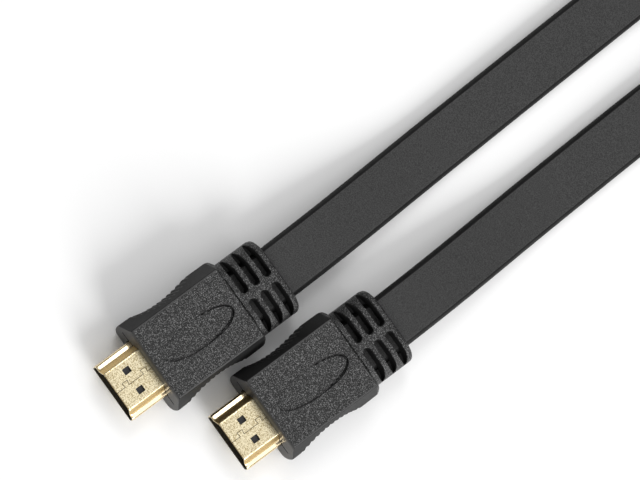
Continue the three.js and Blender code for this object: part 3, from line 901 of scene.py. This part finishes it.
def cut(obj, tool):
    modifier = obj.modifiers.new("cut", "BOOLEAN")
    modifier.operation = "DIFFERENCE"
    modifier.solver = "MANIFOLD"
    modifier.object = tool
    depsgraph = bpy.context.evaluated_depsgraph_get()
    mesh = bpy.data.meshes.new_from_object(obj.evaluated_get(depsgraph))
    obj.modifiers.clear()
    old = obj.data
    obj.data = mesh
    bpy.data.meshes.remove(old)
    bpy.data.objects.remove(tool)


def shell_finish(polygon, outline):
    """A face's finish: 0 mottled, 1 folded, 2 sloping with painted shade, 3 painted shade in the seam, 4
    painted shade inside.
    """
    x, _, z = polygon.center / MM
    top = SHELL_HEIGHT / 2 - 0.02
    if top - SEAM_DEPTH < z < top and abs(x - SEAM_X) < DOVETAIL_REACH + 0.2:
        return 3
    if polygon_distance(x, z, outline) < -INSIDE_DEPTH:
        return 4
    if z > 0 and 0.35 < polygon.normal.z < 0.8 and abs(x) < SHELL_WIDTH / 2 - SHELL_SIDE_BAND:
        return 2
    return int(abs(x) > SHELL_NARROW_WIDTH / 2 - 0.05 and abs(polygon.normal.y) < 0.5)


def make_shells():
    rings = shell_rings()
    count, sides = rings.shape[:2]
    index = np.arange(count * sides).reshape(count, sides)
    onward = np.roll(index, -1, axis=0)
    beside = np.roll(index, -1, axis=1)
    quads = np.stack([index, beside, np.roll(onward, -1, axis=1), onward], -1).reshape(-1, 4)
    face = gold("gold_shell", (0.95, 0.85, 0.6), (0.42, 0.32, 0.15), 0.6, 0.34)
    fold = gold("gold_fold", (0.87, 0.72, 0.48), (0.83, 0.67, 0.42), 0.06, 0.17)
    # The sloping facets' darker gold is painted shade.
    facet = gold("gold_facet_painted_shade", (0.62, 0.46, 0.22), (0.48, 0.34, 0.15), 0.1, 0.42)
    half = SHELL_HEIGHT / 2
    materials = [face, fold, facet, seam_painted_shade(), inside_painted_shade()]
    shell = new_object("shell_blank", rings.reshape(-1, 3) * MM, quads, materials)
    for x in (-WINDOW_SPACING / 2, WINDOW_SPACING / 2):
        cut(shell, prism("window_tool", window_outline(x), -half - 1, half + 1))
    cut(shell, prism("seam_tool", seam_outline(), half - SEAM_DEPTH, half + 1))
    outline = shell_polygon(0)
    for polygon in shell.data.polygons:
        polygon.material_index = shell_finish(polygon, outline)
    for side in ("left", "right"):
        mesh = shell.data.copy()
        mesh.transform(Matrix.Translation(Vector(plug_origin(side) * MM)))
        mesh.set_sharp_from_angle(angle=math.radians(35))
        piece = bpy.data.objects.new(f"{side}_shell", mesh)
        bpy.context.scene.collection.objects.link(piece)
        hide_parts(f"{side}_plug_shell")
        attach(piece, "root")
    bpy.data.objects.remove(shell)


def dress_cad_nodes():
    insulator = black_insulator()
    contact = gold("gold_contact", (0.83, 0.66, 0.36), (0.7, 0.52, 0.25), 0.1, 0.25)
    for name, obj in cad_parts.items():
        if name.endswith("_plug_insert"):
            obj.material_slots[0].material = insulator
        elif "_contact_" in name:
            obj.material_slots[0].material = contact


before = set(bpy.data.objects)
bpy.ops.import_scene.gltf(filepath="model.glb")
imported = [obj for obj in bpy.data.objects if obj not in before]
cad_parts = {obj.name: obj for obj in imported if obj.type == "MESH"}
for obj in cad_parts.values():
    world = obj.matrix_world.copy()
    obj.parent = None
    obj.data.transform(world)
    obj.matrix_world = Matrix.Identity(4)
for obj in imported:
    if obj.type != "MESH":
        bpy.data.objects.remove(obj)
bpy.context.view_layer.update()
make_camera()
make_cable()
make_light()
make_floor()
make_mouldings()
make_shells()
dress_cad_nodes()
